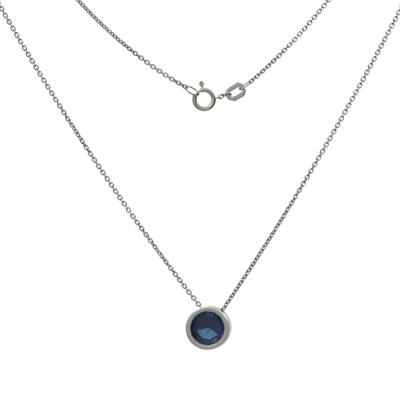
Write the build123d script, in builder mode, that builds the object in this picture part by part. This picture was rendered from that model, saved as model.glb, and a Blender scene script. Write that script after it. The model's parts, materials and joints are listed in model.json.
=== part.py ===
"""A slide pendant necklace: a bezel-set round stone on a fine cable chain with a spring-ring clasp.

Row frame, millimetres: +X to the right as the viewer faces the pendant, +Y away from the viewer, +Z up.
The origin is midway between the two places where the chain hangs over its supports. The closed loop
hangs there in two drapes: the front one carries the pendant and the back one carries the clasp.
Angles in the plane of the necklace run anticlockwise from +X, as the viewer sees them.
"""

import os
from math import asinh, atan, atan2, cos, cosh, degrees, radians, sin, sinh, tan, tanh

from build123d import *

# Chain link: an oval ring of round wire
link_wire = 0.25
link_width = 1.02
link_pitch = 0.80
play = 0.05  # between two pieces that hang in each other

# How the loop hangs over its two supports
support_span = 117.0
support_radius = 5.0  # to the chain's centreline
front_y = -3.0
back_y = 3.0
front_tension = 157.0  # horizontal pull over the chain's weight per length
back_tension_left = 56.5
back_tension_right = 58.1
path_step = 0.1
same_radius = 0.005  # within which two circles are the same size

# Depths below the supports at which the drapes fold
front_fold_depths = [6.0, 26.0, 46.0, 66.0, 86.0]
back_fold_depths = [6.0, 24.0, 42.0]

# Slow turns of the chain about itself: where the turn is centred, how far it turns, over what length
left_end_roll = -30.0  # so that the first link crosses the end ring squarely
left_end_turn = (3.5, 30.0, 1.5)  # from the chain's left end, as the next two
back_left_lower_turn = (14.0, 45.0, 2.5)
back_left_upper_turn = (45.0, 45.0, 6.0)
front_left_upper_turn = (-48.3, 90.0, 6.0)  # from the pendant, as the next three
front_left_lower_turn = (-17.3, 90.0, 6.0)
front_right_turn = (34.0, 50.0, 10.0)
pendant_turn = (1.0, -50.0, 3.0)
back_right_turn = (-9.0, -28.0, 3.0)  # from the chain's right end

# Pendant
pendant_centre = (2.55, -3.42, -110.84)
pendant_tilt = 1.0  # face turned down
pendant_roll = 9.4  # clockwise as the viewer sees it
pendant_yaw = -7.0  # face turned to the viewer's left
bezel_radius = 4.6
bezel_depth = 5.0
bezel_inner_radius = 3.60
bezel_lip_radius = 3.55
bezel_edge_round = 0.15
bezel_lip_bevel = 0.12
back_opening_radius = 1.3
back_thickness = 1.2
chain_hole_radius = 0.78
chain_hole_angle = 28.5  # each side of the pendant's top
chain_hole_z = -0.42  # behind the bezel's middle plane
crossing_height = 2.80  # the chain inside the bezel, above its centre
crossing_bend = 1.0

# Stone: round, with a wide table above and two steps of eight facets below
stone_radius = 3.72
stone_play = 0.04
stone_turn = 20.4  # in its bezel
girdle_bottom = 1.45  # in front of the bezel's middle plane
girdle_height = 0.20
table_share = 0.74
crown_angle = 34.5
star_share = 0.5
upper_step_angle = 48.0
step_radius = 2.45  # to the corners between the two steps
lower_step_angle = 36.0

# Spring ring
ring_centre = (1.59, back_y, -62.24)
ring_radius = 2.05  # to the tube's centreline
tube_radius = 0.475
tube_bore_radius = 0.32
gap_from = 113.0
gap_to = 158.0
bolt_radius = 0.26
bolt_tip = 161.0
bolt_tail = 84.0
bolt_end_round = 0.06
trigger_angle = 99.0
trigger_travel = 42.0
slot_width = 0.34
trigger_post_radius = 0.13
knob_distance = 3.35
knob_length = 1.3
knob_width = 1.02
knob_thickness = 0.56
knob_dimple_radius = 0.45
knob_dimple_depth = 0.06
spring_stop = -25.0
spring_stop_arc = 8.0
coil_outer_radius = 0.29
coil_inner_radius = 0.17
eyelet_angle = 7.0
eyelet_distance = 3.05
eyelet_radius = 0.45  # to its wire's centreline
eyelet_wire = 0.28
eyelet_base_radius = 0.5
eyelet_base_distance = 2.3
eyelet_neck_radius = 0.16

# Rings between the chain's two ends, each from contact to contact
hook_angle = 141.0
end_ring_wire = 0.30
end_ring_width = 3.2
end_ring_reach = 2.8
end_ring_angle = 149.0
end_ring_roll = -64.0
small_link_angle = 35.0
small_link_roll = 10.0
tag_ring_wire = 0.25
tag_ring_width = 1.35
tag_ring_reach = 1.75
tag_ring_angle = 7.7
tag_ring_roll = 75.0
tag_length = 4.4
tag_width = 3.5
tag_slot_length = 2.45
tag_slot_width = 1.0
tag_corner = 0.95
tag_corner_round = 0.5
tag_slot_corner = 0.2
tag_thickness = 0.5
tag_play = 0.14  # the rings' round ends against the slot's square ends
tag_edge_bevel = 0.06
tag_angle = 30.0
long_ring_wire = 0.25
long_ring_width = 1.25
long_ring_reach = 2.59
long_ring_angle = 34.3
long_ring_roll = -62.0


def direction(angle):
    """Unit vector in the necklace's plane."""
    return Vector(cos(radians(angle)), 0, sin(radians(angle)))


def smooth(share):
    """Ease from 0 to 1."""
    return share * share * (3 - 2 * share)


# ---- Where the pieces between the chain's ends meet ----

ring_middle = Vector(*ring_centre)
hook_point = ring_middle + direction(hook_angle) * (ring_radius - bolt_radius - play / 2)
chain_left_end = hook_point + direction(end_ring_angle) * end_ring_reach
eyelet_contact = eyelet_distance + eyelet_radius - eyelet_wire / 2 - play / 2
eyelet_point = ring_middle + direction(eyelet_angle) * eyelet_contact
small_link_end = eyelet_point + direction(small_link_angle) * link_pitch
tag_left_point = small_link_end + direction(tag_ring_angle) * tag_ring_reach
tag_right_point = tag_left_point + direction(tag_angle) * (tag_slot_length - tag_play)
tag_middle = (tag_left_point + tag_right_point) * 0.5
chain_right_end = tag_right_point + direction(long_ring_angle) * long_ring_reach


# ---- The pendant's frame: x to the right, y up, z out of its face ----

pendant_plane = Plane(origin=pendant_centre, x_dir=(1, 0, 0), z_dir=(0, -1, 0))
pendant_plane = pendant_plane.rotated((pendant_tilt, pendant_roll, pendant_yaw))
hole_distance = (bezel_radius + bezel_inner_radius) / 2


def in_pendant(x, y, z):
    """A point of the pendant's frame, in the row frame."""
    return pendant_plane.from_local_coords(Vector(x, y, z))


def chain_hole_direction(side):
    """Direction of a chain hole in the pendant's frame: side is -1 left, 1 right."""
    angle = radians(90 - side * chain_hole_angle)
    return Vector(cos(angle), sin(angle), 0)


def chain_hole_point(side):
    """Middle of a chain hole's wall, in the row frame."""
    outward = chain_hole_direction(side) * hole_distance
    return in_pendant(outward.X, outward.Y, chain_hole_z)


# ---- The chain's path ----


def catenary(start, end, tension):
    """Points of a hanging chain between two (x, z) points, and its slope at the start."""
    half = (end[0] - start[0]) / 2
    drop = asinh((end[1] - start[1]) / (2 * tension * sinh(half / tension)))
    lowest = (start[0] + end[0]) / 2 - tension * drop
    base = start[1] - tension * cosh((start[0] - lowest) / tension)
    count = int(abs(end[0] - start[0]) / path_step)
    points = []
    for index in range(count + 1):
        x = start[0] + (end[0] - start[0]) * index / count
        points.append((x, base + tension * cosh((x - lowest) / tension)))
    return points, abs(sinh((start[0] - lowest) / tension))


def hanging_strand(side, outer, end, tension, y):
    """Points from the support on one side to end, and the angle of the tangent point on the support."""
    steepness = radians(60)
    reach = -1 if outer else 1
    for _ in range(20):
        top_x = side * (support_span / 2 - reach * support_radius * sin(steepness))
        top_z = reach * support_radius * cos(steepness)
        flat_points, slope = catenary((top_x, top_z), (end.X, end.Z), tension)
        steepness = atan(slope)
    last = len(flat_points) - 1
    points = [Vector(x, y + (end.Y - y) * index / last, z) for index, (x, z) in enumerate(flat_points)]
    return points, degrees(atan2(top_z, side * (top_x - side * support_span / 2)))


def over_support(side, outer_angle, inner_angle):
    """Points over a support, from the front drape's tangent point to the back drape's."""
    start = outer_angle
    end = 180 + inner_angle if inner_angle < 0 else inner_angle
    count = int(radians(abs(end - start)) * support_radius / path_step)
    points = []
    for index in range(1, count):
        share = index / count
        angle = radians(start + (end - start) * share)
        x = side * (support_span / 2 + support_radius * cos(angle))
        y = front_y + (back_y - front_y) * smooth(share)
        points.append(Vector(x, y, support_radius * sin(angle)))
    return points


def through_pendant(left_heading, right_heading):
    """Points from the left chain hole to the right one, across the bezel behind the stone."""
    corners = []
    for side, heading in ((-1, left_heading), (1, right_heading)):
        hole = chain_hole_point(side)
        above = pendant_plane.to_local_coords(hole).Y - crossing_height
        corners.append(hole - heading * (above / heading.dot(pendant_plane.y_dir)))
    with BuildLine() as crossing:
        route = (chain_hole_point(-1), corners[0], corners[1], chain_hole_point(1))
        FilletPolyline(*route, radius=crossing_bend)
    wire = crossing.wires()[0]
    count = int(wire.length / path_step)
    points = [wire @ (index / count) for index in range(count + 1)]
    if (points[0] - chain_hole_point(-1)).length > path_step:
        points.reverse()
    return points


back_left, back_left_angle = hanging_strand(-1, False, chain_left_end, back_tension_left, back_y)
front_left, front_left_angle = hanging_strand(-1, True, chain_hole_point(-1), front_tension, front_y)
front_right, front_right_angle = hanging_strand(1, True, chain_hole_point(1), front_tension, front_y)
back_right, back_right_angle = hanging_strand(1, False, chain_right_end, back_tension_right, back_y)
left_wrap = over_support(-1, front_left_angle, back_left_angle)
right_wrap = over_support(1, front_right_angle, back_right_angle)
left_heading = (front_left[-2] - front_left[-1]).normalized()
right_heading = (front_right[-2] - front_right[-1]).normalized()
inside = through_pendant(left_heading, right_heading)

path = list(reversed(back_left)) + list(reversed(left_wrap)) + front_left[:-1]
pendant_index = len(path) + len(inside) // 2
path += inside[:-1] + list(reversed(front_right)) + right_wrap + back_right

distances = [0.0]
for before, after in zip(path, path[1:]):
    distances.append(distances[-1] + (after - before).length)
chain_length = distances[-1]
pendant_distance = distances[pendant_index]
link_count = 2 * round(chain_length / link_pitch / 2)
spacing = chain_length / link_count


def evenly_spaced(count):
    """Points at even distances along the path, both ends included."""
    points = []
    index = 0
    for number in range(count + 1):
        target = chain_length * number / count
        while index < len(path) - 2 and distances[index + 1] < target:
            index += 1
        share = (target - distances[index]) / (distances[index + 1] - distances[index])
        points.append(path[index] + (path[index + 1] - path[index]) * share)
    return points


junctions = evenly_spaced(link_count)


def chain_roll(distance):
    """Turn of the chain about itself at a distance along it, in degrees."""
    turns = [left_end_turn, back_left_lower_turn, back_left_upper_turn]
    front_turns = (front_left_upper_turn, front_left_lower_turn, pendant_turn, front_right_turn)
    for position, turn, spread in front_turns:
        turns.append((pendant_distance + position, turn, spread))
    turns.append((chain_length + back_right_turn[0], back_right_turn[1], back_right_turn[2]))
    turned = [turn * (1 + tanh((distance - position) / spread)) / 2 for position, turn, spread in turns]
    return left_end_roll + sum(turned)


# ---- Rings ----


def ring_plane(start, end, roll):
    """Plane of a ring that runs from start to end: x along it, and at roll 0 it faces the viewer."""
    along = (end - start).normalized()
    facing = Vector(0, -1, 0)
    facing = (facing - along * facing.dot(along)).normalized()
    facing = facing.rotate(Axis((0, 0, 0), along), roll)
    return Plane(origin=(start + end) * 0.5, x_dir=along, z_dir=facing)


def oval_ring(reach, width, wire, plane):
    """A closed oval ring of round wire, whose inside is reach long from contact to contact."""
    straight = (reach + wire + play - (width - wire)) / 2
    bend = (width - wire) / 2
    with BuildPart() as ring:
        with BuildLine(plane) as outline:
            Line((-straight, bend), (straight, bend))
            ThreePointArc((straight, bend), (straight + bend, 0), (straight, -bend))
            Line((straight, -bend), (-straight, -bend))
            ThreePointArc((-straight, -bend), (-straight - bend, 0), (-straight, bend))
        section_origin = plane.from_local_coords(Vector(0, bend, 0))
        with BuildSketch(Plane(origin=section_origin, z_dir=plane.x_dir)):
            Circle(wire / 2)
        sweep(path=outline.wires()[0])
    return ring


# ---- Chain, one node for each stretch between folds ----

link = oval_ring(spacing, link_width, link_wire, Plane.XY)


def nearest_junction(first, last, height):
    """The junction between two numbers whose height is nearest."""
    return min(range(first, last + 1), key=lambda number: abs(junctions[number].Z - height))


left_top = max(range(link_count // 2), key=lambda number: junctions[number].Z)
right_top = max(range(link_count // 2, link_count), key=lambda number: junctions[number].Z)
pendant_junction = round(pendant_distance / spacing)
front_left_folds = [nearest_junction(left_top, pendant_junction, -depth) for depth in front_fold_depths]
front_right_folds = [nearest_junction(pendant_junction, right_top, -depth) for depth in front_fold_depths]
back_left_folds = [nearest_junction(0, left_top, -depth) for depth in back_fold_depths]
back_right_folds = [nearest_junction(right_top, link_count, -depth) for depth in back_fold_depths]

stretches = {
    "chain_over_left_support": (back_left_folds[0], front_left_folds[0]),
    "chain_over_right_support": (front_right_folds[0], back_right_folds[0]),
    "chain_through_pendant": (front_left_folds[-1], front_right_folds[-1]),
    "chain_back_left_end": (0, back_left_folds[-1]),
    "chain_back_right_end": (back_right_folds[-1], link_count),
}
for number in range(1, len(front_fold_depths)):
    stretches[f"chain_front_left_{number}"] = (front_left_folds[number - 1], front_left_folds[number])
    stretches[f"chain_front_right_{number}"] = (front_right_folds[number], front_right_folds[number - 1])
for number in range(1, len(back_fold_depths)):
    stretches[f"chain_back_left_{number}"] = (back_left_folds[number], back_left_folds[number - 1])
    stretches[f"chain_back_right_{number}"] = (back_right_folds[number - 1], back_right_folds[number])


def link_place(number):
    """Where a link lies: every other one is turned a quarter about the chain."""
    roll = chain_roll((number + 0.5) * spacing) + 90 * (number % 2)
    return ring_plane(junctions[number], junctions[number + 1], roll).location


def chain_stretch(first, last):
    """The links between two junctions, each a separate closed ring."""
    with BuildPart() as stretch:
        with Locations(*[link_place(number) for number in range(first, last)]):
            add(link.part)
    return stretch


os.makedirs("parts", exist_ok=True)

for name, (first, last) in stretches.items():
    chain = chain_stretch(first, last)
    chain.part.label = name
    export_step(chain.part, f"parts/{name}.step")

# ---- Pendant ----

profile_plane = Plane(origin=pendant_plane.origin, x_dir=pendant_plane.x_dir, z_dir=-pendant_plane.y_dir)
pendant_axis = Axis(pendant_plane.origin, pendant_plane.z_dir)
face = bezel_depth / 2
pocket_radius = stone_radius + stone_play
girdle_top = girdle_bottom + girdle_height
lip_bottom = girdle_top + (pocket_radius - bezel_lip_radius) * tan(radians(crown_angle))
eighth = 45.0


def corner_height(radius):
    """Height at which the stone's upper step has this radius at its corners."""
    flat = radius * cos(radians(eighth / 2))
    return girdle_bottom - (stone_radius - flat) * tan(radians(upper_step_angle))



with BuildPart() as bezel:
    with BuildSketch(profile_plane):
        with BuildLine():
            Polyline(
                (back_opening_radius, -face),
                (bezel_radius, -face),
                (bezel_radius, face),
                (bezel_lip_radius + bezel_lip_bevel, face),
                (bezel_lip_radius, face - bezel_lip_bevel),
                (bezel_lip_radius, lip_bottom + stone_play),
                (pocket_radius, girdle_top + stone_play),
                (pocket_radius, corner_height(stone_radius) - stone_play),
                (bezel_inner_radius, corner_height(bezel_inner_radius) - stone_play),
                (bezel_inner_radius, back_thickness - face),
                (back_opening_radius, back_thickness - face),
                close=True,
            )
        make_face()
    revolve(axis=pendant_axis)
    circles = bezel.edges().filter_by(GeomType.CIRCLE)
    rims = circles.filter_by(lambda edge: abs(edge.radius - bezel_radius) < same_radius)
    fillet(rims, radius=bezel_edge_round)
    for side in (-1, 1):
        outward = chain_hole_direction(side)
        hole_axis = in_pendant(outward.X, outward.Y, outward.Z) - in_pendant(0, 0, 0)
        with BuildSketch(Plane(origin=in_pendant(0, 0, chain_hole_z), z_dir=hole_axis)):
            Circle(chain_hole_radius)
        extrude(amount=bezel_radius + 1, mode=Mode.SUBTRACT)
bezel.part.label = "pendant_bezel"
export_step(bezel.part, "parts/pendant_bezel.step")


def facet(azimuth, distance, height, angle):
    """Cutting plane of a facet that passes through a point at this distance and height."""
    turn = radians(azimuth + stone_turn)
    tilt = radians(angle)
    origin = in_pendant(distance * cos(turn), distance * sin(turn), height)
    tip = Vector(sin(tilt) * cos(turn), sin(tilt) * sin(turn), cos(tilt))
    return Plane(origin=origin, z_dir=in_pendant(tip.X, tip.Y, tip.Z) - in_pendant(0, 0, 0))


table_radius = table_share * stone_radius
table_flat = table_radius * cos(radians(eighth / 2))
crown_slope = tan(radians(crown_angle))
table_height = girdle_top + (stone_radius - table_radius) * crown_slope
star_tip = table_flat + star_share * (stone_radius - table_flat)
star_tip_height = girdle_top + (stone_radius - star_tip * cos(radians(eighth / 2))) * crown_slope
star_angle = degrees(atan((table_height - star_tip_height) / (star_tip - table_flat)))
upper_reach = star_tip * cos(radians(eighth / 4))
upper_angle = degrees(atan((star_tip_height - girdle_top) / (stone_radius - upper_reach)))
step_flat = step_radius * cos(radians(eighth / 2))
step_height = girdle_bottom - (stone_radius - step_flat) * tan(radians(upper_step_angle))
culet_height = step_height - step_flat * tan(radians(lower_step_angle))

with BuildPart() as stone:
    with BuildSketch(pendant_plane.offset(culet_height)):
        Circle(stone_radius)
    extrude(amount=table_height - culet_height)
    for number in range(8):
        kite = eighth / 2 + eighth * number
        split(bisect_by=facet(kite, stone_radius, girdle_top, crown_angle), keep=Keep.BOTTOM)
        split(bisect_by=facet(eighth * number, table_flat, table_height, star_angle), keep=Keep.BOTTOM)
        split(bisect_by=facet(kite, stone_radius, girdle_bottom, 180 - upper_step_angle), keep=Keep.BOTTOM)
        split(bisect_by=facet(kite, step_flat, step_height, 180 - lower_step_angle), keep=Keep.BOTTOM)
        for half in (-eighth / 4, eighth / 4):
            split(bisect_by=facet(kite + half, stone_radius, girdle_top, upper_angle), keep=Keep.BOTTOM)
stone.part.label = "pendant_stone"
export_step(stone.part, "parts/pendant_stone.step")

# ---- Spring ring ----

ring_face = Plane(origin=ring_centre, x_dir=(1, 0, 0), z_dir=(0, -1, 0))
ring_axis = Axis(ring_centre, (0, -1, 0))


def tube_section(angle):
    """Plane across the spring ring's tube: x away from the ring's centre."""
    outward = direction(angle)
    along = outward.cross(Vector(0, 1, 0))
    return Plane(origin=ring_middle + outward * ring_radius, x_dir=outward, z_dir=along)


with BuildPart() as tube_outside:
    with BuildSketch(tube_section(gap_to)):
        Circle(tube_radius)
    revolve(axis=ring_axis, revolution_arc=360 - gap_to + gap_from)

with BuildPart() as tube:
    with BuildSketch(tube_section(gap_to)):
        Circle(tube_radius)
        Circle(tube_bore_radius, mode=Mode.SUBTRACT)
    revolve(axis=ring_axis, revolution_arc=360 - gap_to + gap_from)
    with BuildSketch(tube_section(spring_stop)):
        Circle((tube_bore_radius + tube_radius) / 2)
    revolve(axis=ring_axis, revolution_arc=-spring_stop_arc)
    post_swing = degrees(trigger_post_radius / ring_radius) + 2
    slot_from = trigger_angle - trigger_travel - post_swing
    with BuildSketch(tube_section(slot_from)):
        with Locations((tube_radius, 0)):
            Rectangle(2 * tube_radius, slot_width)
    revolve(axis=ring_axis, revolution_arc=trigger_travel + 2 * post_swing, mode=Mode.SUBTRACT)
tube.part.label = "spring_ring_tube"
export_step(tube.part, "parts/spring_ring_tube.step")

with BuildPart() as bolt:
    with BuildSketch(tube_section(bolt_tail)):
        Circle(bolt_radius)
    revolve(axis=ring_axis, revolution_arc=bolt_tip - bolt_tail)
    circles = bolt.edges().filter_by(GeomType.CIRCLE)
    ends = circles.filter_by(lambda edge: abs(edge.radius - bolt_radius) < same_radius)
    fillet(ends, radius=bolt_end_round)
bolt.part.label = "spring_ring_bolt"
export_step(bolt.part, "parts/spring_ring_bolt.step")

knob_section = Plane(origin=ring_centre, x_dir=direction(trigger_angle), z_dir=(0, -1, 0))
with BuildPart() as trigger:
    with BuildSketch(Plane(origin=ring_middle + direction(trigger_angle) * (ring_radius + bolt_radius / 2),
                           z_dir=direction(trigger_angle))):
        Circle(trigger_post_radius)
    extrude(amount=knob_distance - ring_radius - bolt_radius / 2)
    with BuildSketch(knob_section):
        with Locations((knob_distance, 0)):
            Ellipse(knob_length / 2, knob_width / 2)
        with Locations((knob_distance, -knob_width)):
            Rectangle(2 * knob_length, 2 * knob_width, mode=Mode.SUBTRACT)
    revolve(axis=Axis(ring_centre, direction(trigger_angle)))
    for front in (-1, 1):
        knob_face = Vector(0, front * knob_thickness / 2, 0) + ring_middle
        split(bisect_by=Plane(origin=knob_face, z_dir=(0, front, 0)), keep=Keep.BOTTOM)
        dimple_out = front * (knob_thickness / 2 + knob_dimple_radius - knob_dimple_depth)
        with Locations(ring_middle + direction(trigger_angle) * knob_distance + Vector(0, dimple_out, 0)):
            Sphere(knob_dimple_radius, mode=Mode.SUBTRACT)
trigger.part.label = "spring_ring_trigger"
export_step(trigger.part, "parts/spring_ring_trigger.step")

with BuildPart() as coil:
    with BuildSketch(tube_section(spring_stop)):
        Circle(coil_outer_radius)
        Circle(coil_inner_radius, mode=Mode.SUBTRACT)
    revolve(axis=ring_axis, revolution_arc=bolt_tail - spring_stop)
coil.part.label = "spring_ring_coil"
export_step(coil.part, "parts/spring_ring_coil.step")

eyelet_out = direction(eyelet_angle)
eyelet_middle = ring_middle + eyelet_out * eyelet_distance
eyelet_turn = Axis(eyelet_middle, eyelet_out.cross(Vector(0, 1, 0)))
neck_distance = eyelet_distance - eyelet_radius
with BuildPart() as eyelet:
    with BuildSketch(Plane(origin=ring_middle, x_dir=eyelet_out, z_dir=(0, -1, 0))):
        with BuildLine():
            Polyline(
                (eyelet_base_distance, 0),
                (eyelet_base_distance, eyelet_base_radius),
                (neck_distance, eyelet_neck_radius),
                (neck_distance, 0),
                close=True,
            )
        make_face()
    revolve(axis=Axis(ring_centre, eyelet_out))
    add(tube_outside.part, mode=Mode.SUBTRACT)
    with BuildSketch(Plane(origin=eyelet_middle + eyelet_out * eyelet_radius, x_dir=eyelet_out,
                           z_dir=(0, 1, 0))):
        Circle(eyelet_wire / 2)
    revolve(axis=eyelet_turn)
eyelet.part.label = "spring_ring_eyelet"
export_step(eyelet.part, "parts/spring_ring_eyelet.step")

# ---- Rings and tag between the chain's ends ----

end_ring = oval_ring(end_ring_reach, end_ring_width, end_ring_wire,
                     ring_plane(chain_left_end, hook_point, end_ring_roll))
end_ring.part.label = "end_ring"
export_step(end_ring.part, "parts/end_ring.step")

small_link = oval_ring(link_pitch, link_width, link_wire,
                       ring_plane(eyelet_point, small_link_end, small_link_roll))
small_link.part.label = "small_link"
export_step(small_link.part, "parts/small_link.step")

tag_ring = oval_ring(tag_ring_reach, tag_ring_width, tag_ring_wire,
                     ring_plane(small_link_end, tag_left_point, tag_ring_roll))
tag_ring.part.label = "tag_ring"
export_step(tag_ring.part, "parts/tag_ring.step")

long_ring = oval_ring(long_ring_reach, long_ring_width, long_ring_wire,
                      ring_plane(tag_right_point, chain_right_end, long_ring_roll))
long_ring.part.label = "long_ring"
export_step(long_ring.part, "parts/long_ring.step")

with BuildPart() as tag:
    tag_face = Plane(origin=tag_middle, x_dir=direction(tag_angle), z_dir=(0, -1, 0))
    with BuildSketch(tag_face) as outline:
        Rectangle(tag_length, tag_width)
        chamfer(outline.vertices(), length=tag_corner)
        fillet(outline.vertices(), radius=tag_corner_round)
    extrude(amount=tag_thickness / 2, both=True)
    with BuildSketch(tag_face):
        RectangleRounded(tag_slot_length, tag_slot_width, tag_slot_corner)
    extrude(amount=tag_thickness, both=True, mode=Mode.SUBTRACT)
    faces_out = tag.faces().filter_by(Axis.Y)
    chamfer(faces_out.edges(), length=tag_edge_bevel)
tag.part.label = "tag"
export_step(tag.part, "parts/tag.step")

clasp_length = end_ring_reach + 2 * ring_radius + link_pitch
clasp_length += tag_ring_reach + tag_slot_length + long_ring_reach
loop_length = chain_length + clasp_length
print(f"{link_count} links, pitch {spacing:.4f}, chain {chain_length:.1f}, whole loop {loop_length:.1f}")
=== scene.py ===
import json
import math

import bmesh
import bpy
import numpy as np
from mathutils import Matrix, Vector


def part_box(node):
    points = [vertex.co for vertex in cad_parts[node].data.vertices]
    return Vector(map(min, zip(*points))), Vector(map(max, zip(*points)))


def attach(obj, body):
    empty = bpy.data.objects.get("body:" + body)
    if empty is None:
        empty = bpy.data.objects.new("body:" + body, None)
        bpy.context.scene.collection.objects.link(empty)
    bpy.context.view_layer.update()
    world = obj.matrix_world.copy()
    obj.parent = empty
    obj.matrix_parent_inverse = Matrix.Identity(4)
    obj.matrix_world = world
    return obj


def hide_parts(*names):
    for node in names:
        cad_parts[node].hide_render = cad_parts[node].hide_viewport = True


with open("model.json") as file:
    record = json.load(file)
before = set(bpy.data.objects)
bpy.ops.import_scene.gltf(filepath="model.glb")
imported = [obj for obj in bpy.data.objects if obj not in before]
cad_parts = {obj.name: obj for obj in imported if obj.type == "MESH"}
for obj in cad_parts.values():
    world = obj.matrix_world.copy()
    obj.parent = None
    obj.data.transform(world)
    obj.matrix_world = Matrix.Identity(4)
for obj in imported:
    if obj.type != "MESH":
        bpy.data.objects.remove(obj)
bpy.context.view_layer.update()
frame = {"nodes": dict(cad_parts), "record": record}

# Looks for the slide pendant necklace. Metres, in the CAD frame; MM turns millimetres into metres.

MM = 0.001
BEHAVIOUR = frame["record"]["behaviour"]
JOINTS = BEHAVIOUR["joints"]
BODY_OF = {cad_node: body for body, cad_nodes in BEHAVIOUR["bodies"].items() for cad_node in cad_nodes}

# ---------------------------------------------------------------- Camera

CAMERA_PLACE = Vector((0.71, -600.0, -83.76)) * MM
VIEW_WIDTH = 84.8 * MM  # seen across the picture, at the front drape
VIEW_DISTANCE = 597.0 * MM

camera_data = bpy.data.cameras.new("camera")
camera_data.angle = 2 * math.atan(VIEW_WIDTH / 2 / VIEW_DISTANCE)
camera_data.clip_start = 0.01
camera_data.clip_end = 10
camera = bpy.data.objects.new("camera", camera_data)
camera.location = CAMERA_PLACE
camera.rotation_euler = (math.radians(90), 0, 0)
bpy.context.scene.collection.objects.link(camera)
bpy.context.scene.camera = camera
bpy.context.scene.view_settings.view_transform = "Standard"

# ---------------------------------------------------------------- Node helpers


def new_material(name):
    """An empty node material with its output and a Principled shader joined to it."""
    material = bpy.data.materials.new(name)
    material.use_nodes = True
    tree = material.node_tree
    tree.nodes.clear()
    output = tree.nodes.new("ShaderNodeOutputMaterial")
    shader = tree.nodes.new("ShaderNodeBsdfPrincipled")
    tree.links.new(shader.outputs["BSDF"], output.inputs["Surface"])
    return material, tree, shader


def node(tree, kind, settings=None, **inputs):
    """A node with attributes set from settings, and inputs given by name, or as i0, i1 by number."""
    made = tree.nodes.new(kind)
    for name, value in (settings or {}).items():
        setattr(made, name, value)
    for name, value in inputs.items():
        key = int(name[1:]) if name.startswith("i") else name.replace("_", " ")
        socket = made.inputs[key]
        if isinstance(value, bpy.types.NodeSocket):
            tree.links.new(value, socket)
        else:
            socket.default_value = value
    return made


def math_node(tree, operation, first, second=0.0):
    """Output of a Math node."""
    return node(tree, "ShaderNodeMath", {"operation": operation}, i0=first, i1=second).outputs[0]


def spread(tree, value, low, high):
    """A 0 to 1 value mapped to low..high."""
    mapped = node(tree, "ShaderNodeMapRange", None, Value=value)
    mapped.inputs["To Min"].default_value = low
    mapped.inputs["To Max"].default_value = high
    return mapped.outputs["Result"]


def noise(tree, where, scale, detail):
    """Output of a noise texture."""
    return node(tree, "ShaderNodeTexNoise", None, Vector=where, Scale=scale, Detail=detail).outputs[0]


def blend(tree, share, low, high):
    """A colour between two, by a 0 to 1 share."""
    mix = node(tree, "ShaderNodeMix", {"data_type": "RGBA"}, i0=spread(tree, share, 0.0, 1.0))
    mix.inputs[6].default_value = (*low, 1)
    mix.inputs[7].default_value = (*high, 1)
    return mix.outputs[2]


# ---------------------------------------------------------------- World and floor

FRONT_LEVEL = 0.42
SIDE_LEVEL = 0.05
ABOVE_LEVEL = 1.1
FRONT_EDGE = (-0.95, -0.70)  # directions' Y over which the front level falls to the side level
BEHIND_EDGE = (0.80, 0.95)  # directions' Y over which the light behind comes in
ABOVE_EDGE = (0.60, 0.85)  # directions' Z over which the light above comes in
WHITE = (1.0, 1.0, 1.0, 1.0)


def build_world():
    """A soft studio: bright behind and above, dim in front, dark at the sides and below."""
    world = bpy.data.worlds.new("studio")
    bpy.context.scene.world = world
    world.use_nodes = True
    tree = world.node_tree
    tree.nodes.clear()
    output = tree.nodes.new("ShaderNodeOutputWorld")
    place = tree.nodes.new("ShaderNodeTexCoord")
    split = node(tree, "ShaderNodeSeparateXYZ", None, i0=place.outputs["Generated"])

    def step(value, edge, to_low, to_high):
        made = node(tree, "ShaderNodeMapRange", {"interpolation_type": "SMOOTHSTEP"}, Value=value)
        made.inputs["From Min"].default_value = edge[0]
        made.inputs["From Max"].default_value = edge[1]
        made.inputs["To Min"].default_value = to_low
        made.inputs["To Max"].default_value = to_high
        return made.outputs["Result"]

    front = step(split.outputs["Y"], FRONT_EDGE, FRONT_LEVEL, SIDE_LEVEL)
    behind = step(split.outputs["Y"], BEHIND_EDGE, 0.0, 1.0)
    above = step(split.outputs["Z"], ABOVE_EDGE, 0.0, ABOVE_LEVEL)
    level = math_node(tree, "MAXIMUM", math_node(tree, "MAXIMUM", behind, above), front)
    shade = node(tree, "ShaderNodeBackground", None, Strength=level)
    shade.inputs["Color"].default_value = WHITE
    plain = node(tree, "ShaderNodeBackground", None, Strength=1.0)
    plain.inputs["Color"].default_value = WHITE
    path = tree.nodes.new("ShaderNodeLightPath")
    mix = tree.nodes.new("ShaderNodeMixShader")
    tree.links.new(path.outputs["Is Camera Ray"], mix.inputs[0])
    tree.links.new(shade.outputs[0], mix.inputs[1])
    tree.links.new(plain.outputs[0], mix.inputs[2])
    tree.links.new(mix.outputs[0], output.inputs["Surface"])


FLOOR_RADIUS = 300.0 * MM
FLOOR_HEIGHT = -400.0 * MM
FLOOR_SIDES = 96
FLOOR_COLOUR = (0.93, 0.93, 0.93, 1)


def build_floor():
    """A small pale floor well below the hanging necklace."""
    mesh = bpy.data.meshes.new("floor")
    made = bmesh.new()
    bmesh.ops.create_circle(made, cap_ends=True, segments=FLOOR_SIDES, radius=FLOOR_RADIUS)
    made.to_mesh(mesh)
    made.free()
    floor = bpy.data.objects.new("floor", mesh)
    floor.location = (0, 0, FLOOR_HEIGHT)
    bpy.context.scene.collection.objects.link(floor)
    material, _, shader = new_material("pale_floor")
    shader.inputs["Base Color"].default_value = FLOOR_COLOUR
    shader.inputs["Roughness"].default_value = 0.8
    mesh.materials.append(material)


build_world()
build_floor()

# ---------------------------------------------------------------- Materials

TARNISH = 0.12
SCRATCH_SCALE = 2600.0
TARNISH_SCALE = 380.0


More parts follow.
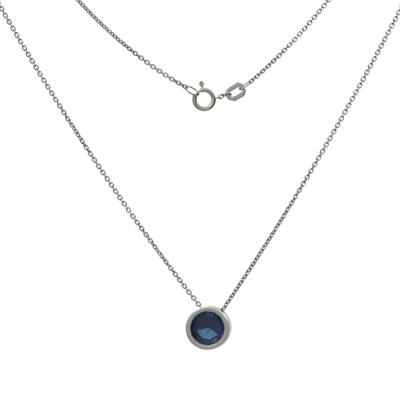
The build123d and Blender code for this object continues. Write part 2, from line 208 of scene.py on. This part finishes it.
def silver(name, colour, roughness, scratch=0.25, relief=0.0016 * MM):
    """Silver with fine scratches, uneven polish and a trace of tarnish, by object-space noise."""
    material, tree, shader = new_material(name)
    place = tree.nodes.new("ShaderNodeTexCoord")
    fine = noise(tree, place.outputs["Object"], SCRATCH_SCALE, 4.0)
    broad = noise(tree, place.outputs["Object"], TARNISH_SCALE, 3.0)
    dark = tuple(part * (1 - TARNISH) * warm for part, warm in zip(colour, (1.0, 0.985, 0.94)))
    light = tuple(min(1.0, part * (1 + TARNISH * 0.6)) for part in colour)
    tree.links.new(blend(tree, broad, dark, light), shader.inputs["Base Color"])
    rough = spread(tree, fine, roughness * (1 - scratch), roughness * (1 + scratch))
    tree.links.new(rough, shader.inputs["Roughness"])
    bump = node(tree, "ShaderNodeBump", None, Height=fine)
    bump.inputs["Distance"].default_value = relief
    tree.links.new(bump.outputs[0], shader.inputs["Normal"])
    shader.inputs["Metallic"].default_value = 1.0
    return material


LIP_MIDDLE = 4.07 * MM  # reach of the middle of the bezel's lip from the pendant's axis
LIP_CURVE = 220.0  # how fast the lip falls away on both sides, per metre
MARK_DEPTH = 0.012 * MM
MARK_SCALE = 7.0  # per millimetre across the marks, per radian along them
CLOUD_SCALE = 300.0


def turned_silver(name, colour, roughness, centre, axes):
    """Satin silver polished on a lathe: fine marks run round the piece's own axis."""
    material, tree, shader = new_material(name)
    place = tree.nodes.new("ShaderNodeTexCoord")
    shift = node(tree, "ShaderNodeVectorMath", {"operation": "SUBTRACT"},
                 i0=place.outputs["Object"], i1=centre)

    def along(axis):
        dot = node(tree, "ShaderNodeVectorMath", {"operation": "DOT_PRODUCT"}, i0=shift.outputs[0], i1=axis)
        return dot.outputs[1]

    right, up, out = (along(axis) for axis in axes)
    reach = math_node(tree, "SQRT", math_node(tree, "ADD", math_node(tree, "MULTIPLY", right, right),
                                              math_node(tree, "MULTIPLY", up, up)))
    turn = math_node(tree, "ARCTAN2", up, right)
    around = node(tree, "ShaderNodeCombineXYZ", None, X=math_node(tree, "MULTIPLY", reach, 1 / MM),
                  Y=turn, Z=math_node(tree, "MULTIPLY", out, 1 / MM))
    marks = noise(tree, around.outputs[0], MARK_SCALE, 6.0)
    broad = noise(tree, place.outputs["Object"], CLOUD_SCALE, 3.0)
    dark, light = ([share * part for part in colour] for share in (0.90, 1.08))
    tree.links.new(blend(tree, broad, dark, light), shader.inputs["Base Color"])
    rough = spread(tree, marks, 0.65 * roughness, 1.35 * roughness)
    tree.links.new(rough, shader.inputs["Roughness"])
    off_middle = math_node(tree, "SUBTRACT", reach, LIP_MIDDLE)
    curve = math_node(tree, "MULTIPLY", math_node(tree, "GREATER_THAN", out, 0.0), -LIP_CURVE)
    dome = math_node(tree, "MULTIPLY", math_node(tree, "MULTIPLY", off_middle, off_middle), curve)
    height = math_node(tree, "ADD", dome, math_node(tree, "MULTIPLY", marks, MARK_DEPTH))
    bump = node(tree, "ShaderNodeBump", None, Height=height)
    bump.inputs["Distance"].default_value = 1.0
    tree.links.new(bump.outputs[0], shader.inputs["Normal"])
    shader.inputs["Metallic"].default_value = 1.0
    return material


def pendant_axes():
    """The pendant's own right, up and out directions, from the stone's flat table."""
    table = min(frame["nodes"]["pendant_stone"].data.polygons, key=lambda face: face.normal.y * face.area)
    out = table.normal.copy()
    up = (Vector((0, 0, 1)) - out * out.z).normalized()
    return up.cross(out), up, out


def box_middle(cad_node):
    """Middle of a node's box."""
    low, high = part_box(cad_node)
    return (Vector(low) + Vector(high)) / 2


chain_silver = silver("chain_silver", (0.34, 0.33, 0.30), 0.22)
bezel_silver = turned_silver("bezel_silver", (0.66, 0.65, 0.60), 0.34,
                             box_middle("pendant_bezel"), pendant_axes())
clasp_silver = silver("clasp_silver", (0.46, 0.465, 0.41), 0.52)
wire_silver = silver("wire_silver", (0.22, 0.21, 0.17), 0.28)
tag_silver = silver("tag_silver", (0.67, 0.67, 0.645), 0.36, scratch=0.35, relief=0.010 * MM)

WIPE_SCALE = 900.0
ZONE_SCALE = 420.0


def clear_crown():
    """The stone's polished crown and table: clear, with faint wipe marks in its gloss."""
    material, tree, shader = new_material("clear_crown")
    place = tree.nodes.new("ShaderNodeTexCoord")
    marks = noise(tree, place.outputs["Object"], WIPE_SCALE, 5.0)
    tree.links.new(spread(tree, marks, 0.0, 0.05), shader.inputs["Roughness"])
    shader.inputs["Base Color"].default_value = (0.90, 0.92, 1.0, 1)
    shader.inputs["IOR"].default_value = 1.60
    shader.inputs["Transmission Weight"].default_value = 1.0
    return material


PAVILION_GLOSS = 0.15


def deep_pavilion(name, deep, light):
    """A colour on the stone's lower facets, zoned by noise from deep to light: used for the stone's body
    colour and for the painted reflection on three facets.
    """
    material, tree, shader = new_material(name)
    place = tree.nodes.new("ShaderNodeTexCoord")
    zones = noise(tree, place.outputs["Object"], ZONE_SCALE, 2.0)
    tree.links.new(blend(tree, zones, deep, light), shader.inputs["Base Color"])
    shader.inputs["Roughness"].default_value = 0.35
    shader.inputs["Specular IOR Level"].default_value = PAVILION_GLOSS
    return material


stone_clear = clear_crown()
stone_deep = deep_pavilion("stone_deep", (0.024, 0.048, 0.165), (0.055, 0.092, 0.290))
# Painted reflection: a light blue for three lower facets, standing in for light reflected inside the stone.
stone_painted_reflection = deep_pavilion("stone_painted_reflection", (0.20, 0.55, 1.0), (0.38, 0.78, 1.0))

# ---------------------------------------------------------------- Meshes


def add_object(name, mesh, body, material, cad_node):
    """Puts a finished mesh in the scene, on its body, in place of a CAD node."""
    made = bpy.data.objects.new(name, mesh)
    bpy.context.scene.collection.objects.link(made)
    mesh.materials.append(material)
    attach(made, body)
    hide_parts(cad_node)


WELD_GRID = 1e-7  # points closer than this are one


def separate_shells(mesh):
    """Vertex positions and triangles of each separate closed shell in a mesh."""
    place = np.empty(len(mesh.vertices) * 3)
    mesh.vertices.foreach_get("co", place)
    place = place.reshape(-1, 3)
    _, same = np.unique(np.round(place / WELD_GRID).astype(np.int64), axis=0, return_inverse=True)
    same = same.reshape(-1)
    corners = np.empty(len(mesh.polygons) * 3, dtype=np.int64)
    mesh.polygons.foreach_get("vertices", corners)
    corners = corners.reshape(-1, 3)
    triangles = same[corners]
    label = np.arange(same.max() + 1)
    while True:
        low = label[triangles].min(axis=1)
        before = label.copy()
        for column in range(3):
            np.minimum.at(label, triangles[:, column], low)
        label = label[label]
        if (label == before).all():
            break
    owner = label[same]
    shells = []
    for value in np.unique(owner):
        own = owner == value
        number = np.cumsum(own) - 1
        shells.append((place[own], number[corners[own[corners[:, 0]]]]))
    return shells


LINK_WIRE = 0.25 * MM
OUTLINE_STEPS = 14  # along each round end of a link
STRAIGHT_STEPS = 3
WIRE_SIDES = 14
SOLDER_SWELL = 0.04  # of the wire's radius, at the soldered joint
SOLDER_LENGTH = 0.16 * MM
JOINED_LENGTH = 1.25  # of a ring's usual length: a longer shell is two joined links, and keeps its own mesh


def ring_template(length, width, wire):
    """Vertices and faces of an oval wire ring with a soldered joint, in its own plane."""
    bend = (width - wire) / 2
    straight = (length - width) / 2
    stops = []
    for turn in (0, 1):
        sign = 1 - 2 * turn
        for step in range(STRAIGHT_STEPS):
            stops.append((Vector((sign * (2 * straight * step / STRAIGHT_STEPS - straight), sign * bend, 0)),
                          Vector((0, sign, 0))))
        for step in range(OUTLINE_STEPS):
            angle = math.pi / 2 - math.pi * step / OUTLINE_STEPS
            out = Vector((math.cos(angle), math.sin(angle), 0)) * sign
            stops.append((Vector((sign * straight, 0, 0)) + out * bend, out))
    joint = Vector((0, -bend, 0))
    vertices = []
    for centre, out in stops:
        near = math.exp(-((centre - joint).length / SOLDER_LENGTH) ** 2)
        radius = wire / 2 * (1 + SOLDER_SWELL * near)
        for side in range(WIRE_SIDES):
            angle = 2 * math.pi * side / WIRE_SIDES
            rise = Vector((0, 0, radius * math.sin(angle)))
            vertices.append(centre + out * (radius * math.cos(angle)) + rise)
    faces = []
    for stop in range(len(stops)):
        after = (stop + 1) % len(stops)
        for side in range(WIRE_SIDES):
            beside = (side + 1) % WIRE_SIDES
            faces.append((stop * WIRE_SIDES + side, stop * WIRE_SIDES + beside,
                          after * WIRE_SIDES + beside, after * WIRE_SIDES + side))
    return np.array(vertices), np.array(faces)


def ring_axes(points, length_way):
    """Centre, axes and sizes of a flat oval ring of points: along it, across it, through it."""
    middle = points.mean(axis=0)
    _, axes = np.linalg.eigh(np.cov((points - middle).T))
    axes = axes.T[::-1]
    if length_way is not None:
        axes[0] = length_way - axes[2] * (length_way @ axes[2])
        axes[0] /= np.linalg.norm(axes[0])
        axes[1] = np.cross(axes[2], axes[0])
    along = (points - middle) @ axes.T
    sizes = along.max(axis=0) - along.min(axis=0)
    centre = middle + ((along.max(axis=0) + along.min(axis=0)) / 2) @ axes
    if np.dot(np.cross(axes[0], axes[1]), axes[2]) < 0:
        axes[2] = -axes[2]
    return centre, axes, sizes


def rings_like(cad_node, name, wire, material, length_way=None):
    """Smooth wire rings in the places of every ring of a CAD node."""
    vertices, faces = [], []
    shells = separate_shells(frame["nodes"][cad_node].data)
    rings = [ring_axes(points, length_way) for points, _ in shells]
    usual_length = np.median([sizes[0] for _, _, sizes in rings])
    for (points, triangles), (centre, axes, sizes) in zip(shells, rings):
        if sizes[0] > JOINED_LENGTH * usual_length:
            own, own_faces = points, triangles
        else:
            own, own_faces = ring_template(sizes[0], sizes[1], wire)
            own = centre + own @ axes
        faces.extend((own_faces + len(vertices)).tolist())
        vertices.extend(own.tolist())
    mesh = bpy.data.meshes.new(name)
    mesh.from_pydata(vertices, [], faces)
    mesh.validate()
    mesh.shade_smooth()
    add_object(name, mesh, BODY_OF[cad_node], material, cad_node)


for cad_node in sorted(BODY_OF):
    if cad_node.startswith("chain_"):
        rings_like(cad_node, cad_node.replace("chain_", "links_"), LINK_WIRE, chain_silver)

SWIVEL_AXES = {joint["child"]: np.array(joint["axis"]) for joint in JOINTS}

for cad_node, wire in (("small_link", 0.25), ("end_ring", 0.30), ("tag_ring", 0.25), ("long_ring", 0.25)):
    rings_like(cad_node, f"{cad_node}_wire", wire * MM, wire_silver, SWIVEL_AXES[cad_node])

# ---------------------------------------------------------------- Stone

CROWN_FACING = -0.05  # a crown, table or girdle facet's normal along the stone's axis is above this
LOWER_STEP_FACING = -0.74  # a lower facet's normal along the stone's axis, between the two steps' angles
PAINTED_REFLECTION_FROM = -168.0  # azimuths between which the lower step's facets get a painted reflection, a light blue standing in for light reflected inside the stone
PAINTED_REFLECTION_TO = -30.0


def build_stone():
    """The stone: clear crown, dark lower facets, and three facets of the lower step with a painted
    reflection in light blue.
    """
    mesh = frame["nodes"]["pendant_stone"].data.copy()
    mesh.name = "stone"
    mesh.materials.clear()
    right, up, out = pendant_axes()
    made = bpy.data.objects.new("stone", mesh)
    bpy.context.scene.collection.objects.link(made)
    for material in (stone_clear, stone_deep, stone_painted_reflection):
        mesh.materials.append(material)
    for face in mesh.polygons:
        if face.normal.dot(out) > CROWN_FACING:
            face.material_index = 0
            continue
        azimuth = math.degrees(math.atan2(face.normal.dot(up), face.normal.dot(right)))
        lower_step = face.normal.dot(out) < LOWER_STEP_FACING
        # Painted reflection: the lower-step facets in that azimuth range get the light blue material, not
        # light reflected in the stone.
        face.material_index = 2 if lower_step and PAINTED_REFLECTION_FROM < azimuth < PAINTED_REFLECTION_TO else 1
    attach(made, "pendant")
    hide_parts("pendant_stone")


build_stone()

# ---------------------------------------------------------------- Tag

TAG_CUT = 0.95 * MM  # off each corner
TAG_SLOT = (2.45 * MM, 1.0 * MM)
TAG_STEPS = 192
SECTION_STEPS = 24
EDGE_POWER = 0.6  # 1 is a round section, 0 a square one
CORNER_POWER = 24.0  # how sharp the corners of the outlines are


def outline_reach(angle, sides):
    """Reach, at an angle, of an outline of straight sides with soft corners.

    Each side is its distance and its weights along and across the tag.
    """
    along, across = abs(math.cos(angle)), abs(math.sin(angle))
    inverse = [(along * x + across * y) / distance for distance, x, y in sides]
    return sum(value ** CORNER_POWER for value in inverse) ** (-1 / CORNER_POWER)


def build_tag():
    """The tag: a flat link with cut corners and a slot, its edges worn round."""
    points = np.array([vertex.co for vertex in frame["nodes"]["tag"].data.vertices])
    centre, axes, sizes = ring_axes(points, SWIVEL_AXES["tag"])
    half_length, half_width, half_depth = sizes / 2
    outside = ((half_length, 1, 0), (half_width, 0, 1), (half_length + half_width - TAG_CUT, 1, 1))
    inside = ((TAG_SLOT[0] / 2, 1, 0), (TAG_SLOT[1] / 2, 0, 1))
    vertices, faces = [], []
    for step in range(TAG_STEPS):
        angle = 2 * math.pi * step / TAG_STEPS
        inner, outer = outline_reach(angle, inside), outline_reach(angle, outside)
        for turn in range(SECTION_STEPS):
            around = 2 * math.pi * turn / SECTION_STEPS
            share = math.copysign(abs(math.cos(around)) ** EDGE_POWER, math.cos(around))
            depth = half_depth * math.copysign(abs(math.sin(around)) ** EDGE_POWER, math.sin(around))
            reach = (inner + outer) / 2 + share * (outer - inner) / 2
            vertices.append(np.array((reach * math.cos(angle), reach * math.sin(angle), depth)))
    for step in range(TAG_STEPS):
        after = (step + 1) % TAG_STEPS
        for turn in range(SECTION_STEPS):
            beside = (turn + 1) % SECTION_STEPS
            faces.append((step * SECTION_STEPS + turn, after * SECTION_STEPS + turn,
                          after * SECTION_STEPS + beside, step * SECTION_STEPS + beside))
    mesh = bpy.data.meshes.new("tag_link")
    mesh.from_pydata((centre + np.array(vertices) @ axes).tolist(), [], faces)
    mesh.validate()
    mesh.shade_smooth()
    add_object("tag_link", mesh, "tag", tag_silver, "tag")


build_tag()

# ---------------------------------------------------------------- Coil spring

COIL_WIRE = 0.09 * MM
COIL_PITCH = 0.20 * MM
STEPS_A_TURN = 16
COIL_SIDES = 8


def build_coil():
    """The spring ring's coil: a helix wound along the tube, as long and as wide as its CAD stand-in."""
    centre = Vector(next(joint["pos_m"] for joint in JOINTS if joint["name"] == "trigger_pull"))
    places = [vertex.co - centre for vertex in frame["nodes"]["spring_ring_coil"].data.vertices]
    reaches = [math.hypot(place.x, place.z) for place in places]
    angles = [math.atan2(place.z, place.x) for place in places]
    reach = (max(reaches) + min(reaches)) / 2
    winding = (max(reaches) - min(reaches)) / 2 - COIL_WIRE / 2
    first, last = min(angles), max(angles)
    turns = round(reach * (last - first) / COIL_PITCH)
    vertices, faces = [], []
    stops = turns * STEPS_A_TURN
    for stop in range(stops + 1):
        along = first + (last - first) * stop / stops
        outward = Vector((math.cos(along), 0, math.sin(along)))
        phase = 2 * math.pi * stop / STEPS_A_TURN
        spoke = outward * math.cos(phase) + Vector((0, 1, 0)) * math.sin(phase)
        middle = centre + outward * reach + spoke * winding
        onward = Vector((-math.sin(along), 0, math.cos(along)))
        for side in range(COIL_SIDES):
            angle = 2 * math.pi * side / COIL_SIDES
            vertices.append(middle + (spoke * math.cos(angle) + onward * math.sin(angle)) * (COIL_WIRE / 2))
    for stop in range(stops):
        for side in range(COIL_SIDES):
            beside = (side + 1) % COIL_SIDES
            base = stop * COIL_SIDES
            faces.append((base + side, base + beside, base + COIL_SIDES + beside, base + COIL_SIDES + side))
    faces.append(tuple(reversed(range(COIL_SIDES))))
    faces.append(tuple(range(stops * COIL_SIDES, (stops + 1) * COIL_SIDES)))
    mesh = bpy.data.meshes.new("coil_spring")
    mesh.from_pydata(vertices, [], faces)
    mesh.shade_smooth()
    add_object("coil_spring", mesh, "spring_ring", clasp_silver, "spring_ring_coil")


build_coil()

# ---------------------------------------------------------------- CAD nodes that stay


def dress(cad_node, material):
    """Gives a CAD node that stays its material."""
    shown = frame["nodes"][cad_node]
    shown.data.materials.clear()
    shown.data.materials.append(material)


dress("pendant_bezel", bezel_silver)
for part in ("tube", "bolt", "trigger", "eyelet"):
    dress(f"spring_ring_{part}", clasp_silver)

# ---------------------------------------------------------------- Lights


def area_light(name, place, target, size, power):
    """A soft square light that faces target."""
    data = bpy.data.lights.new(name, "AREA")
    data.size = size
    data.energy = power
    light = bpy.data.objects.new(name, data)
    light.location = place
    aim = Vector(target) - Vector(place)
    light.rotation_euler = aim.to_track_quat("-Z", "Y").to_euler()
    bpy.context.scene.collection.objects.link(light)


area_light("key", (-0.35, -0.45, 0.30), (0, 0, -0.08), 0.25, 3.0)
area_light("rim", (0.45, 0.10, 0.25), (0, 0, -0.08), 0.20, 1.5)
